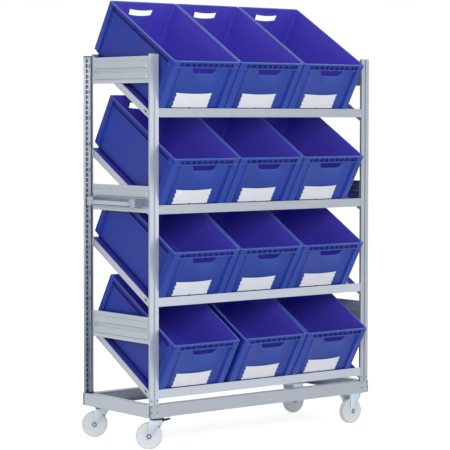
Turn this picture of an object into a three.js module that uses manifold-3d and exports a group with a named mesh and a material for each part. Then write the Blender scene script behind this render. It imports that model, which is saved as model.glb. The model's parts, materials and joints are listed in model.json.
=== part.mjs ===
// Mobile bin cart: a wheeled steel rack whose four sloping shelves carry twelve stacking bins.
// Millimetres, +Z up. The bins face -Y, the push handle and the swivel casters are at -X.
import * as THREE from "three";
import { mergeVertices } from "three/addons/utils/BufferGeometryUtils.js";
import Module from "manifold-3d";

const wasm = await Module();
wasm.setup();

// Gaps and overruns
const clearance = 0.3;
const cutOverrun = 6;
const weldDistance = 0.0005;

// Facets of round pieces
const boreSides = 8;
const headSides = 12;
const eyeSteps = 4;
const bendSteps = 3;

// Base frame of folded channels
const rackDepth = 544;
const railHeight = 60;
const railFlange = 40;
const railSheet = 2;
const cornerSlit = 7.5;
const gussetLength = 150;
const gussetDepth = 110;
const gussetSheet = 3;
const gussetChamfer = 50;

// Uprights: a hollow grooved flange with a slotted web behind it
const uprightTop = 1849;
const uprightFace = 50;
const uprightFlangeDepth = 9;
const uprightWeb = 13;
const uprightDepth = 32;
const uprightSheet = 1.5;
const grooveWidth = 9;
const grooveFloor = 5;
const grooveDepth = 3;
const webSlit = 6;
const slotPitch = 125;
const slotHeight = 12;
const slotDepth = 7;
const slotStart = 40;

// Ribbed side panels between the webs of a front and a rear upright
const panelHeight = 125;
const panelDepth = 12;
const panelSheet = 1.5;
const beadDepth = 4;
const beadSlope = 3;
const panelTopHeights = [622.5, 1235.5, 1841];
const beadShares = [0.17, 0.4, 0.6, 0.83];

// Sloping shelves and the front beams that the bins lean on
const shelfTilt = 30.5;
const shelfSheet = 2;
const shelfFold = 33;
const shelfLip = 8;
const shelfFrontReach = 5;
const shelfRearGap = 2.4;
const shelfSlotLength = 18;
const shelfSlotHeight = 7;
const shelfSlotInset = 32;
const beamTopHeights = [286, 716, 1147, 1598];
const beamHeight = 42;
const beamSheet = 2;
const beamHem = 3.2;
const beamHemHeight = 7;
const beamReturn = 8;
const beamSetback = 1;
const beamAboveShelf = 28;

// Stacking bins, measured along the bin: across, along the shelf, square to the shelf
const binWidth = 396;
const binLength = 596;
const binHeight = 280;
const binGap = 1;
const binWall = 3;
const binRecess = 8;
const footInset = 18;
const footHeight = 12;
const floorSheet = 4;
const rimHeight = 8;
const pocketHeight = 22;
const ledgeHeight = 4;
const postWidth = 40;
const postStart = 20;
const binCorner = 12;
const footCorner = 10;
const roundShares = [0, 0.5, 1];
const bevelShares = [0, 1];
const pocketRib = 3;
const frontRibShares = [0.3, 0.41, 0.59, 0.7];
const sideRibShares = [0.3, 0.7];
const gripWidth = 146;
const gripHeight = 26;
const gripTaper = 14;
const gripBelowLedge = 2;
const rearGripWidth = 138;
const rearGripHeight = 30;
const rearGripTaper = 3;
const rearGripSag = 6;
const lowRowGaps = [26, 3.5];
const rowSlack = 91.4;

// Push handle on the left side
const handleInset = 2.4;
const handleReach = 30;
const handleHeight = 40;
const handleBottom = 1135;
const handleSheet = 2.5;
const handleReturn = 14;
const handleBend = 9;
const handleTab = 43;
const gripSlotInset = 47;
const gripSlotHeight = 4;
const gripSlotAbove = 12;
const gripBead = 2;
const gripBeadHeight = 9;
const gripBeadAbove = 26;

// Casters
const casterHeight = 155.7;
const plateLength = 105;
const plateWidth = 80;
const plateSheet = 4;
const casterInset = 77;
const casterSetback = 50;
const wheelDiameter = 125;
const treadWidth = 27;
const wheelWidth = 35;
const wheelShoulder = 4;
const hubRadius = 17;
const hubWidth = 37;
const hubSlope = 3;
const wheelSides = 20;
const axleRadius = 6;
const axleHead = 10;
const axleHeadHeight = 5;
const forkSheet = 3;
const forkGap = 2;
const forkEyeRadius = 15;
const bracketTop = 83;
const bracketEyeStart = 190;
const forkEyeStart = 205;
const eyeEnd = 350;
const swivelTrail = 36;
const swivelYaw = 141;
const domeRadius = 33;
const domeHeight = 12;
const crownRadius = 30;
const crownHeight = 6;
const kingpinRadius = 6;
const rivetRadius = 9;
const rivetHeight = 6;
const forkFrontReach = 27;
const forkShoulderDrop = 18;

// Brake pedal of a swivel caster
const pedalPinRadius = 3;
const pedalPinForward = 19;
const pedalPinHeight = 121;
const pedalBoss = 7;
const pedalReach = 45;
const pedalRise = 24;
const pedalThickness = 6;
const pedalPad = 12;
const shoeReach = 16.5;
const shoeWidth = 6;
const shoeAngle = -75;

// Colours and finishes
const galvanised = { color: 0xb4bac0, roughness: 0.42, metalness: 0.85 };
const casterSteel = { color: 0xaab4bf, roughness: 0.35, metalness: 0.9 };
const bluePlastic = { color: 0x1f2a9c, roughness: 0.45, metalness: 0 };
const whiteNylon = { color: 0xe9ebe8, roughness: 0.4, metalness: 0 };
const blackSteel = { color: 0x1b1d20, roughness: 0.5, metalness: 0.4 };

// Derived sizes and places
const binsAcross = lowRowGaps.length + 1;
const rowLength = binsAcross * binWidth + (binsAcross - 1) * binGap + rowSlack;
const halfWidth = rowLength / 2 + uprightFace + clearance + railSheet;
const halfDepth = rackDepth / 2;
const railBottom = casterHeight + clearance;
const railTop = railBottom + railHeight;
const casterX = halfWidth - casterInset;
const casterY = halfDepth - casterSetback;
const postOuterX = halfWidth - railSheet - clearance;
const postInnerX = postOuterX - uprightFace;
const postCentreX = postOuterX - uprightFace / 2;
const postFrontY = -halfDepth + railSheet + clearance;
const postRearY = postFrontY + uprightDepth;
const gussetTop = railBottom + railSheet + clearance + gussetSheet;
const uprightBottom = gussetTop + clearance;
const uprightLength = uprightTop - uprightBottom;
const webInnerX = postCentreX - uprightWeb / 2;
const webOuterX = postCentreX + uprightWeb / 2;
const beamBackY = postFrontY + beamSetback + beamHem;
const tilt = THREE.MathUtils.degToRad(shelfTilt);
const shelfY = beamBackY + clearance / Math.cos(tilt) + beamAboveShelf * Math.tan(tilt);
const shelfHalfWidth = webInnerX - clearance;
const shelfRearY = -postFrontY - uprightFlangeDepth - shelfRearGap - shelfFold * Math.sin(tilt);
const shelfLength = (shelfRearY - shelfY) / Math.cos(tilt) + shelfFrontReach;
const panelHalfLength = -postRearY - clearance;
const handleHalfLength = panelHalfLength - handleInset - handleTab;
const gripSlotHalf = handleHalfLength - gripSlotInset;
const wheelRadius = wheelDiameter / 2;
const ledgeBottom = binHeight - rimHeight - pocketHeight - ledgeHeight;

// A closed solid from a geometry, for joining and cutting
function solid(geometry) {
  const bare = geometry.clone();
  bare.deleteAttribute("normal");
  bare.deleteAttribute("uv");
  const welded = mergeVertices(bare, weldDistance);
  const vertProperties = new Float32Array(welded.attributes.position.array);
  const triVerts = new Uint32Array(welded.index.array);
  return new wasm.Manifold(new wasm.Mesh({ numProp: 3, vertProperties, triVerts }));
}

// A geometry from a solid
function geometryOf(body) {
  const mesh = body.getMesh();
  const geometry = new THREE.BufferGeometry();
  const positions = new THREE.BufferAttribute(new Float32Array(mesh.vertProperties), 3);
  geometry.setAttribute("position", positions);
  geometry.setIndex(new THREE.BufferAttribute(new Uint32Array(mesh.triVerts), 1));
  geometry.computeVertexNormals();
  return geometry;
}

// The first geometry with the others joined to it
function join(...geometries) {
  return geometryOf(geometries.map(solid).reduce((whole, next) => whole.add(next)));
}

// The first geometry less all the others
function cut(first, ...others) {
  return geometryOf(others.reduce((whole, next) => whole.subtract(solid(next)), solid(first)));
}

// A block between two corners
function block(low, high) {
  const geometry = new THREE.BoxGeometry(...low.map((value, i) => high[i] - value));
  return geometry.translate(...low.map((value, i) => (value + high[i]) / 2));
}

// An outline in X, Y that runs up from one height to another
function prismZ(points, bottom, top) {
  const shape = new THREE.Shape(points.map(([x, y]) => new THREE.Vector2(x, y)));
  const options = { depth: top - bottom, bevelEnabled: false };
  return new THREE.ExtrudeGeometry(shape, options).translate(0, 0, bottom);
}

const turnAlongX = new THREE.Matrix4().makeBasis(
  new THREE.Vector3(0, 1, 0),
  new THREE.Vector3(0, 0, 1),
  new THREE.Vector3(1, 0, 0),
);
const turnAlongY = new THREE.Matrix4().makeBasis(
  new THREE.Vector3(0, 0, 1),
  new THREE.Vector3(1, 0, 0),
  new THREE.Vector3(0, 1, 0),
);

// An outline in Y, Z that runs along X
function prismX(points, start, end) {
  return prismZ(points, start, end).applyMatrix4(turnAlongX);
}

// An outline in X, Z that runs along Y
function prismY(points, start, end) {
  const turned = points.map(([x, z]) => [z, x]);
  return prismZ(turned, start, end).applyMatrix4(turnAlongY);
}

// The outline of a sheet folded along a path, with its thickness on the path's right
function foldedSheet(path, thickness) {
  const points = path.map(([x, y]) => new THREE.Vector2(x, y));
  const normals = points.slice(1).map((point, i) => {
    const run = point.clone().sub(points[i]).normalize();
    return new THREE.Vector2(run.y, -run.x);
  });
  const inner = points.map((point, i) => {
    const before = normals[Math.max(i - 1, 0)];
    const after = normals[Math.min(i, normals.length - 1)];
    const mitre = before.clone().add(after).divideScalar(1 + before.dot(after));
    return point.clone().addScaledVector(mitre, thickness).toArray();
  });
  return [...path, ...inner.reverse()];
}

// A path with its inner corners rounded
function roundedPath(path, radius, steps) {
  return path.flatMap((corner, i) => {
    if (i === 0 || i === path.length - 1) return [corner];
    const here = new THREE.Vector2(...corner);
    const back = new THREE.Vector2(...path[i - 1]).sub(here).normalize();
    const ahead = new THREE.Vector2(...path[i + 1]).sub(here).normalize();
    const start = here.clone().addScaledVector(back, radius);
    const end = here.clone().addScaledVector(ahead, radius);
    const bend = new THREE.QuadraticBezierCurve(start, here, end);
    return bend.getPoints(steps).map((point) => point.toArray());
  });
}

// A rectangle with round corners, each drawn through the given shares of its quarter turn
function roundedRectangle(halfX, lowY, highY, radius, cornerShares) {
  const corners = [
    [halfX - radius, highY - radius, 0],
    [-halfX + radius, highY - radius, 1],
    [-halfX + radius, lowY + radius, 2],
    [halfX - radius, lowY + radius, 3],
  ];
  return corners.flatMap(([x, y, quarter]) => cornerShares.map((share) => {
    const angle = (quarter + share) * Math.PI / 2;
    return [x + radius * Math.cos(angle), y + radius * Math.sin(angle)];
  }));
}

// A round bar along Y about a point in X, Z
function barY(radius, start, end, x, z, sides) {
  const bar = new THREE.CylinderGeometry(radius, radius, end - start, sides);
  return bar.translate(x, (start + end) / 2, z);
}

// A turned solid about Z from radius and height pairs that close on themselves
function turned(profile, sides) {
  const points = [...profile, profile[0]].map(([radius, z]) => new THREE.Vector2(radius, z));
  const lathe = new THREE.LatheGeometry(points, sides);
  return lathe.applyMatrix4(new THREE.Matrix4().makeRotationX(Math.PI / 2));
}

// Adds one named piece to a group
function addPiece(group, name, geometry, finish) {
  const mesh = new THREE.Mesh(geometry, new THREE.MeshStandardMaterial(finish));
  mesh.name = name;
  group.add(mesh);
  return mesh;
}

// The outline of a channel whose open side faces +X
function channelOutline(depth, height, sheet, bottom) {
  return [
    [0, bottom],
    [depth, bottom],
    [depth, bottom + sheet],
    [sheet, bottom + sheet],
    [sheet, bottom + height - sheet],
    [depth, bottom + height - sheet],
    [depth, bottom + height],
    [0, bottom + height],
  ];
}

// Front rail, open to the rear, its flanges cut back at the side rails and the uprights
function longRailGeometry() {
  const outline = channelOutline(railFlange, railHeight, railSheet, railBottom);
  const rail = prismX(outline, -halfWidth, halfWidth);
  const past = railFlange + cutOverrun;
  const middle = railBottom + railHeight / 2;
  const notches = [-1, 1].flatMap((side) => {
    const span = (from) => [side * from, side * (halfWidth + cutOverrun)].sort((a, b) => a - b);
    const low = span(postOuterX);
    const high = span(postInnerX - clearance);
    return [
      block([low[0], railSheet, railBottom - cutOverrun], [low[1], past, middle]),
      block([high[0], railSheet, middle], [high[1], past, railTop + cutOverrun]),
    ];
  });
  return cut(rail, ...notches).translate(0, -halfDepth, 0);
}

// Left side rail, open inward, with flanges only between the long rails
function sideRailGeometry() {
  const half = halfDepth - railSheet - cornerSlit;
  const flangeHalf = halfDepth - railFlange - clearance;
  const outline = channelOutline(railFlange, railHeight, railSheet, railBottom);
  const rail = prismY(outline, -half, half);
  const low = railBottom - cutOverrun;
  const high = railTop + cutOverrun;
  const past = railFlange + cutOverrun;
  const notches = [
    block([railSheet, -half - cutOverrun, low], [past, -flangeHalf, high]),
    block([railSheet, flangeHalf, low], [past, half + cutOverrun, high]),
  ];
  return cut(rail, ...notches).translate(-halfWidth, 0, 0);
}

// Corner plate that lies on the bottom flanges and carries an upright
function gussetGeometry(side) {
  const outer = postOuterX;
  const front = postFrontY;
  const points = [
    [outer, front],
    [outer, front + gussetDepth],
    [outer - gussetLength + gussetChamfer, front + gussetDepth],
    [outer - gussetLength, front + gussetDepth - gussetChamfer],
    [outer - gussetLength, front],
  ];
  const placed = points.map(([x, y]) => [side * x, y]);
  return prismZ(placed, gussetTop - gussetSheet, gussetTop);
}

// Section of a front upright, its grooved face at Y 0 and its web behind
function uprightOutline() {
  const half = [
    [grooveFloor / 2, grooveDepth],
    [grooveWidth / 2, 0],
    [uprightFace / 2, 0],
    [uprightFace / 2, uprightFlangeDepth],
    [uprightWeb / 2, uprightFlangeDepth],
    [uprightWeb / 2, uprightDepth],
    [webSlit / 2, uprightDepth],
  ];
  const mirrored = half.map(([x, y]) => [-x, y]);
  return foldedSheet([...half.toReversed(), ...mirrored], uprightSheet);
}

// A front upright with slots through both sides of its web
function uprightGeometry() {
  const bar = prismZ(uprightOutline(), 0, uprightLength);
  const count = Math.floor((uprightLength - slotStart) / slotPitch) + 1;
  const reach = uprightWeb / 2 + cutOverrun;
  const middle = (uprightFlangeDepth + uprightDepth) / 2;
  const slots = Array.from({ length: count }, (_, i) => {
    const low = slotStart + i * slotPitch - slotHeight / 2;
    return block([-reach, middle - slotDepth / 2, low], [reach, middle + slotDepth / 2, low + slotHeight]);
  });
  return cut(bar, ...slots).translate(0, postFrontY, uprightBottom);
}

// Left side panel, its outer skin folded into two sunk beads
function panelGeometry() {
  const skin = [[panelDepth, 0], [0, 0]];
  beadShares.forEach((share, i) => {
    const z = share * panelHeight;
    const entering = i % 2 === 0;
    skin.push([entering ? 0 : beadDepth, z - beadSlope / 2]);
    skin.push([entering ? beadDepth : 0, z + beadSlope / 2]);
  });
  skin.push([0, panelHeight], [panelDepth, panelHeight]);
  const outline = foldedSheet(skin, panelSheet);
  return prismY(outline, -panelHalfLength, panelHalfLength).translate(-webOuterX, 0, 0);
}

// Shelf in its own sloping frame: X across, Y up the slope, Z square to the plate
function shelfGeometry() {
  const half = shelfHalfWidth;
  const front = -shelfFrontReach;
  const rear = front + shelfLength;
  const inner = half - shelfSheet;
  const below = -shelfFold - cutOverrun;
  const tray = block([-half, front, -shelfFold], [half, rear, 0]);
  const underside = block([-inner, front + shelfSheet, below], [inner, rear - shelfSheet, -shelfSheet]);
  const mouth = block([-inner, front - cutOverrun, below], [inner, front + shelfFold, -shelfLip]);
  const slotAt = (y) => {
    const radius = shelfSlotHeight / 2;
    const run = shelfSlotLength / 2 - radius;
    const turns = [0, 1, 2, 3, 4, 5, 6, 7];
    const outline = turns.map((turn) => {
      const angle = (turn + 0.5) * Math.PI / 4;
      const end = Math.cos(angle) > 0 ? run : -run;
      return [y + end + radius * Math.cos(angle), -shelfFold / 2 + radius * Math.sin(angle)];
    });
    return prismX(outline, -half - cutOverrun, half + cutOverrun);
  };
  return cut(tray, underside, mouth, slotAt(front + shelfSlotInset), slotAt(rear - shelfSlotInset));
}

// Front beam between the front uprights, with a hem along its top edge
function beamGeometry() {
  const outline = [
    [0, 0],
    [beamReturn, 0],
    [beamReturn, beamSheet],
    [beamSheet, beamSheet],
    [beamSheet, beamHeight - beamHemHeight],
    [beamHem, beamHeight - beamHemHeight],
    [beamHem, beamHeight],
    [0, beamHeight],
  ];
  const half = postInnerX - clearance;
  return prismX(outline, -half, half).translate(0, postFrontY + beamSetback, -beamHeight);
}

// Outline of a bin's wall zone: full size at the corner posts, sunk between them
function postOutline() {
  const full = roundedRectangle(binWidth / 2, 0, binLength, binCorner, roundShares);
  const endX = binWidth / 2 - postWidth;
  const sideLow = postWidth;
  const sideHigh = binLength - postWidth;
  const outline = [];
  const rearDent = [
    [endX, binLength],
    [endX, binLength - binRecess],
    [-endX, binLength - binRecess],
    [-endX, binLength],
  ];
  const leftDent = [
    [-binWidth / 2, sideHigh],
    [-binWidth / 2 + binRecess, sideHigh],
    [-binWidth / 2 + binRecess, sideLow],
    [-binWidth / 2, sideLow],
  ];
  const frontDent = [[-endX, 0], [-endX, binRecess], [endX, binRecess], [endX, 0]];
  const rightDent = leftDent.map(([x, y]) => [-x, y]).reverse();
  [rearDent, leftDent, frontDent, rightDent].forEach((dent, i) => {
    const start = i * roundShares.length;
    outline.push(...full.slice(start, start + roundShares.length), ...dent);
  });
  return outline;
}

// Ribs that stand in the pocket band under the rim
function pocketRibs() {
  const low = ledgeBottom + ledgeHeight / 2;
  const high = binHeight - rimHeight / 2;
  const halfRib = pocketRib / 2;
  const depth = binRecess + binWall / 2;
  const front = frontRibShares.map((share) => {
    const x = (share - 0.5) * binWidth;
    return block([x - halfRib, 0, low], [x + halfRib, depth, high]);
  });
  const sides = sideRibShares.flatMap((share) => {
    const y = share * binLength;
    return [
      block([-binWidth / 2, y - halfRib, low], [-binWidth / 2 + depth, y + halfRib, high]),
      block([binWidth / 2 - depth, y - halfRib, low], [binWidth / 2, y + halfRib, high]),
    ];
  });
  return [...front, ...sides];
}

// Cutters of the grip openings in the front and the rear wall
function gripCutters() {
  const top = ledgeBottom - gripBelowLedge;
  const half = gripWidth / 2;
  const reach = binRecess + binWall + cutOverrun;
  const front = [
    [-half, top],
    [-half + gripTaper / 3, top - gripHeight / 2],
    [-half + gripTaper, top - gripHeight],
    [half - gripTaper, top - gripHeight],
    [half - gripTaper / 3, top - gripHeight / 2],
    [half, top],
  ];
  const rearHalf = rearGripWidth / 2;
  const rear = [
    [-rearHalf, top],
    [-rearHalf + rearGripTaper, top - rearGripHeight],
    [0, top - rearGripHeight - rearGripSag],
    [rearHalf - rearGripTaper, top - rearGripHeight],
    [rearHalf, top],
    [0, top - rearGripSag],
  ];
  return [prismY(front, -cutOverrun, reach), prismY(rear, binLength - reach, binLength + cutOverrun)];
}

// Stacking bin in the shelf's frame: front wall at Y 0, foot at Z 0, open top
function binGeometry() {
  const ring = (inset, radius, cornerShares) => roundedRectangle(
    binWidth / 2 - inset,
    inset,
    binLength - inset,
    radius,
    cornerShares,
  );
  const foot = prismZ(ring(footInset, footCorner, bevelShares), 0, footHeight + floorSheet);
  const body = prismZ(ring(binRecess, binCorner, bevelShares), footHeight, binHeight - rimHeight / 2);
  const posts = prismZ(postOutline(), postStart, binHeight - rimHeight / 2);
  const ledge = prismZ(ring(0, binCorner, roundShares), ledgeBottom, ledgeBottom + ledgeHeight);
  const rim = prismZ(ring(0, binCorner, roundShares), binHeight - rimHeight, binHeight);
  const hollow = prismZ(
    ring(binRecess + binWall, binCorner - binWall, bevelShares),
    footHeight + floorSheet,
    binHeight + cutOverrun,
  );
  const shell = join(body, foot, posts, ledge, rim, ...pocketRibs());
  return cut(shell, hollow, ...gripCutters());
}

// Push handle: a bow with tabs on the panel, a return along both edges and a beaded grip
function handleGeometry() {
  const tabX = -webOuterX - clearance - handleSheet;
  const outerX = -halfWidth - handleReach;
  const end = handleHalfLength + handleTab;
  const path = [
    [tabX, -end],
    [tabX, -handleHalfLength],
    [outerX, -handleHalfLength],
    [outerX, handleHalfLength],
    [tabX, handleHalfLength],
    [tabX, end],
  ];
  const bow = prismZ(
    foldedSheet(roundedPath(path, handleBend, bendSteps), handleSheet),
    handleBottom,
    handleBottom + handleHeight,
  );
  const run = handleHalfLength - handleBend;
  const channel = channelOutline(handleReturn, handleHeight, handleSheet, handleBottom);
  const returns = prismY(channel, -run, run).translate(outerX, 0, 0);
  const beadZ = handleBottom + gripBeadAbove;
  const bead = prismY(
    [
      [outerX + gripBead, beadZ - gripBeadHeight / 2],
      [outerX - cutOverrun, beadZ - gripBeadHeight],
      [outerX - cutOverrun, beadZ + gripBeadHeight],
      [outerX + gripBead, beadZ + gripBeadHeight / 2],
    ],
    -gripSlotHalf,
    gripSlotHalf,
  );
  const slotZ = handleBottom + gripSlotAbove;
  const slot = block(
    [outerX - cutOverrun, -gripSlotHalf, slotZ - gripSlotHeight / 2],
    [outerX + handleSheet + cutOverrun, gripSlotHalf, slotZ + gripSlotHeight / 2],
  );
  return cut(join(bow, returns), bead, slot);
}

// Solid nylon wheel about Y, centred on its axle, standing on a flat of its tread
function wheelGeometry() {
  const bore = axleRadius + clearance;
  const rimFace = wheelWidth / 2;
  const tread = wheelRadius / Math.cos(Math.PI / wheelSides);
  const half = [
    [bore, hubWidth / 2],
    [hubRadius, hubWidth / 2],
    [hubRadius + hubSlope, rimFace],
    [tread - wheelShoulder, rimFace],
    [tread, treadWidth / 2],
  ];
  const mirrored = half.map(([radius, y]) => [radius, -y]);
  const wheel = turned([...half.toReversed(), ...mirrored], wheelSides);
  return wheel.rotateZ(Math.PI / wheelSides).rotateX(Math.PI / 2);
}

// Axle bolt about Y through both cheeks, with a head and a nut
function axleGeometry() {
  const face = wheelWidth / 2 + forkGap + forkSheet + clearance;
  const profile = [
    [0, -face - axleHeadHeight],
    [axleHead, -face - axleHeadHeight],
    [axleHead, -face],
    [axleRadius, -face],
    [axleRadius, face],
    [axleHead, face],
    [axleHead, face + axleHeadHeight],
    [0, face + axleHeadHeight],
  ].map(([radius, y]) => new THREE.Vector2(radius, y));
  return new THREE.LatheGeometry(profile, boreSides);
}

// One pair of caster cheeks from an outline in X, Z, bored for the axle
function cheeks(outline, boreX, boreZ) {
  const inner = wheelWidth / 2 + forkGap;
  const outer = inner + forkSheet;
  return [[-outer, -inner], [inner, outer]].map(([start, end]) => cut(
    prismY(outline, start, end),
    barY(axleRadius + clearance, start - cutOverrun, end + cutOverrun, boreX, boreZ, boreSides),
  ));
}

// Round lower end of a cheek about the axle, from the angle where its edge leaves off
function eyeArc(x, z, startDegrees) {
  return Array.from({ length: eyeSteps + 1 }, (_, i) => {
    const degrees = startDegrees + (eyeEnd - startDegrees) * i / eyeSteps;
    const angle = THREE.MathUtils.degToRad(degrees);
    return [x + forkEyeRadius * Math.cos(angle), z + forkEyeRadius * Math.sin(angle)];
  });
}

// Mounting plate of a caster, centred on X, Y
function plateBlock() {
  return block(
    [-plateLength / 2, -plateWidth / 2, casterHeight - plateSheet],
    [plateLength / 2, plateWidth / 2, casterHeight],
  );
}

// Fixed bracket: a plate with two cheeks that narrow down to the axle
function bracketGeometry() {
  const top = casterHeight - plateSheet / 2;
  const shoulder = casterHeight - forkShoulderDrop;
  const outline = [
    [bracketTop / 2, top],
    [-bracketTop / 2, top],
    [-bracketTop / 2, shoulder],
    ...eyeArc(0, wheelRadius, bracketEyeStart),
    [bracketTop / 2, shoulder],
  ];
  return join(plateBlock(), ...cheeks(outline, 0, wheelRadius));
}

// Swivel plate: plate, pressed dome and the kingpin riveted through the fork's crown
function swivelPlateGeometry() {
  const plateBottom = casterHeight - plateSheet;
  const domeBottom = plateBottom - domeHeight;
  const crownBottom = domeBottom - clearance - crownHeight;
  const rivetTop = crownBottom - clearance;
  const profile = [
    [0, plateBottom + plateSheet / 2],
    [domeRadius, plateBottom + plateSheet / 2],
    [domeRadius, plateBottom],
    [crownRadius, domeBottom],
    [kingpinRadius, domeBottom],
    [kingpinRadius, rivetTop],
    [rivetRadius, rivetTop],
    [rivetRadius, rivetTop - rivetHeight],
    [0, rivetTop - rivetHeight],
  ].reverse().map(([radius, z]) => new THREE.Vector2(radius, z));
  const head = new THREE.LatheGeometry(profile, headSides);
  head.applyMatrix4(new THREE.Matrix4().makeRotationX(Math.PI / 2));
  return join(plateBlock(), head);
}

// Fork of a swivel caster about the swivel axis, its wheel trailing along +X
function forkGeometry() {
  const crownTop = casterHeight - plateSheet - domeHeight - clearance;
  const crownBottom = crownTop - crownHeight;
  const inner = wheelWidth / 2 + forkGap;
  const outer = inner + forkSheet;
  const rearReach = swivelTrail + forkEyeRadius;
  const shoulder = crownBottom - forkShoulderDrop;
  const outline = [
    [rearReach, crownTop],
    [-forkFrontReach, crownTop],
    [-forkFrontReach, shoulder],
    ...eyeArc(swivelTrail, wheelRadius, forkEyeStart),
    [rearReach, shoulder],
  ];
  const bridge = block([-forkFrontReach, -outer, crownBottom], [crownRadius, outer, crownTop]);
  const crown = turned(
    [
      [kingpinRadius + clearance, crownBottom],
      [crownRadius, crownBottom],
      [crownRadius, crownTop],
      [kingpinRadius + clearance, crownTop],
    ],
    headSides,
  );
  const bore = new THREE.CylinderGeometry(
    kingpinRadius + clearance,
    kingpinRadius + clearance,
    crownHeight + cutOverrun,
    headSides,
  );
  bore.rotateX(Math.PI / 2).translate(0, 0, (crownTop + crownBottom) / 2);
  const body = join(cut(bridge, bore), crown, ...cheeks(outline, swivelTrail, wheelRadius));
  const pinBore = barY(
    pedalPinRadius + clearance,
    -outer - cutOverrun,
    outer + cutOverrun,
    -pedalPinForward,
    pedalPinHeight,
    boreSides,
  );
  return cut(body, pinBore);
}

// Brake pedal: a boss on the pin, a pad that reaches forward and a shoe over the tread
function pedalGeometry() {
  const half = wheelWidth / 2 + forkGap - clearance;
  const x = -pedalPinForward;
  const z = pedalPinHeight;
  const tipX = x - pedalReach;
  const tipZ = z + pedalRise;
  const arm = prismY(
    [
      [x, z - pedalThickness / 2],
      [x, z + pedalThickness / 2],
      [tipX + pedalPad, tipZ],
      [tipX, tipZ],
      [tipX, tipZ - pedalThickness],
      [tipX + pedalPad, tipZ - pedalThickness],
    ],
    -half,
    half,
  );
  const boss = barY(pedalBoss, -half, half, x, z, boreSides);
  const angle = THREE.MathUtils.degToRad(shoeAngle);
  const along = [Math.cos(angle), Math.sin(angle)];
  const across = [-along[1], along[0]];
  const shoePoint = (reach, side) => [
    x + along[0] * reach + across[0] * side,
    z + along[1] * reach + across[1] * side,
  ];
  const shoe = prismY(
    [
      shoePoint(0, -shoeWidth / 2),
      shoePoint(shoeReach, -shoeWidth / 2),
      shoePoint(shoeReach, shoeWidth / 2),
      shoePoint(0, shoeWidth / 2),
    ],
    -half,
    half,
  );
  const bore = barY(pedalPinRadius + clearance, -half - cutOverrun, half + cutOverrun, x, z, boreSides);
  return cut(join(boss, arm, shoe), bore);
}

// Pin that the pedal turns on, through both cheeks of the fork
function pedalPinGeometry() {
  const reach = wheelWidth / 2 + forkGap + forkSheet;
  return barY(pedalPinRadius, -reach, reach, -pedalPinForward, pedalPinHeight, boreSides);
}

// Base frame, uprights, panels and gussets
function addFrame(rack) {
  const longRail = longRailGeometry();
  const sideRail = sideRailGeometry();
  const upright = uprightGeometry();
  const panel = panelGeometry();
  const turns = { front: 0, rear: Math.PI };
  for (const [end, turn] of Object.entries(turns)) {
    addPiece(rack, `base_rail_${end}`, longRail, galvanised).rotation.z = turn;
    for (const [side, sign] of [["left", -1], ["right", 1]]) {
      const ownSign = end === "front" ? sign : -sign;
      const gusset = gussetGeometry(ownSign);
      addPiece(rack, `corner_gusset_${end}_${side}`, gusset, galvanised).rotation.z = turn;
      const post = addPiece(rack, `upright_${end}_${side}`, upright, galvanised);
      post.rotation.z = turn;
      post.position.x = sign * postCentreX;
    }
  }
  for (const [side, turn] of [["left", 0], ["right", Math.PI]]) {
    addPiece(rack, `base_rail_${side}`, sideRail, galvanised).rotation.z = turn;
    panelTopHeights.forEach((top, i) => {
      const level = ["low", "middle", "top"][i];
      const piece = addPiece(rack, `side_panel_${side}_${level}`, panel, galvanised);
      piece.rotation.z = turn;
      piece.position.z = top - panelHeight;
    });
  }
}

// Left edge of each bin in a row, the lowest row being set out with gaps
function binEdges(row) {
  const gaps = row === 0 ? lowRowGaps : lowRowGaps.map(() => binGap);
  const edges = [-postInnerX + clearance];
  gaps.forEach((gap) => edges.push(edges.at(-1) + binWidth + gap));
  return edges;
}

// Shelves, their beams and the bins on them, from the lowest row up
function addRows(rack) {
  const shelf = shelfGeometry();
  const beam = beamGeometry();
  const bin = binGeometry();
  beamTopHeights.forEach((height, row) => {
    const number = row + 1;
    addPiece(rack, `front_beam_${number}`, beam, galvanised).position.z = height;
    const slope = new THREE.Group();
    slope.position.set(0, shelfY, height - beamAboveShelf);
    slope.rotation.x = tilt;
    rack.add(slope);
    addPiece(slope, `shelf_${number}`, shelf, galvanised);
    binEdges(row).forEach((edge, i) => {
      const piece = addPiece(slope, `bin_${number}_${i + 1}`, bin, bluePlastic);
      piece.position.set(edge + binWidth / 2, 0, clearance);
    });
  });
}

// Casters: swivel ones with brakes on the left, fixed ones on the right
function addCasters(rack) {
  const wheel = wheelGeometry();
  const axle = axleGeometry();
  const turningParts = {
    fork: [forkGeometry(), casterSteel],
    brake_pedal: [pedalGeometry(), blackSteel],
    pedal_pin: [pedalPinGeometry(), casterSteel],
  };
  const swivelPlate = swivelPlateGeometry();
  const bracket = bracketGeometry();
  for (const [end, sign] of [["front", -1], ["rear", 1]]) {
    const swivel = new THREE.Group();
    swivel.position.set(-casterX, sign * casterY, 0);
    swivel.rotation.z = THREE.MathUtils.degToRad(swivelYaw);
    for (const [name, [geometry, finish]] of Object.entries(turningParts)) {
      addPiece(swivel, `${name}_${end}`, geometry, finish);
    }
    const plate = addPiece(rack, `swivel_plate_${end}`, swivelPlate, casterSteel);
    plate.position.copy(swivel.position);
    const fixed = new THREE.Group();
    fixed.position.set(casterX, sign * casterY, 0);
    addPiece(fixed, `fixed_bracket_${end}`, bracket, casterSteel);
    for (const [side, group, trail] of [["left", swivel, swivelTrail], ["right", fixed, 0]]) {
      addPiece(group, `wheel_${end}_${side}`, wheel, whiteNylon).position.set(trail, 0, wheelRadius);
      addPiece(group, `axle_${end}_${side}`, axle, casterSteel).position.set(trail, 0, wheelRadius);
      rack.add(group);
    }
  }
}

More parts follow.
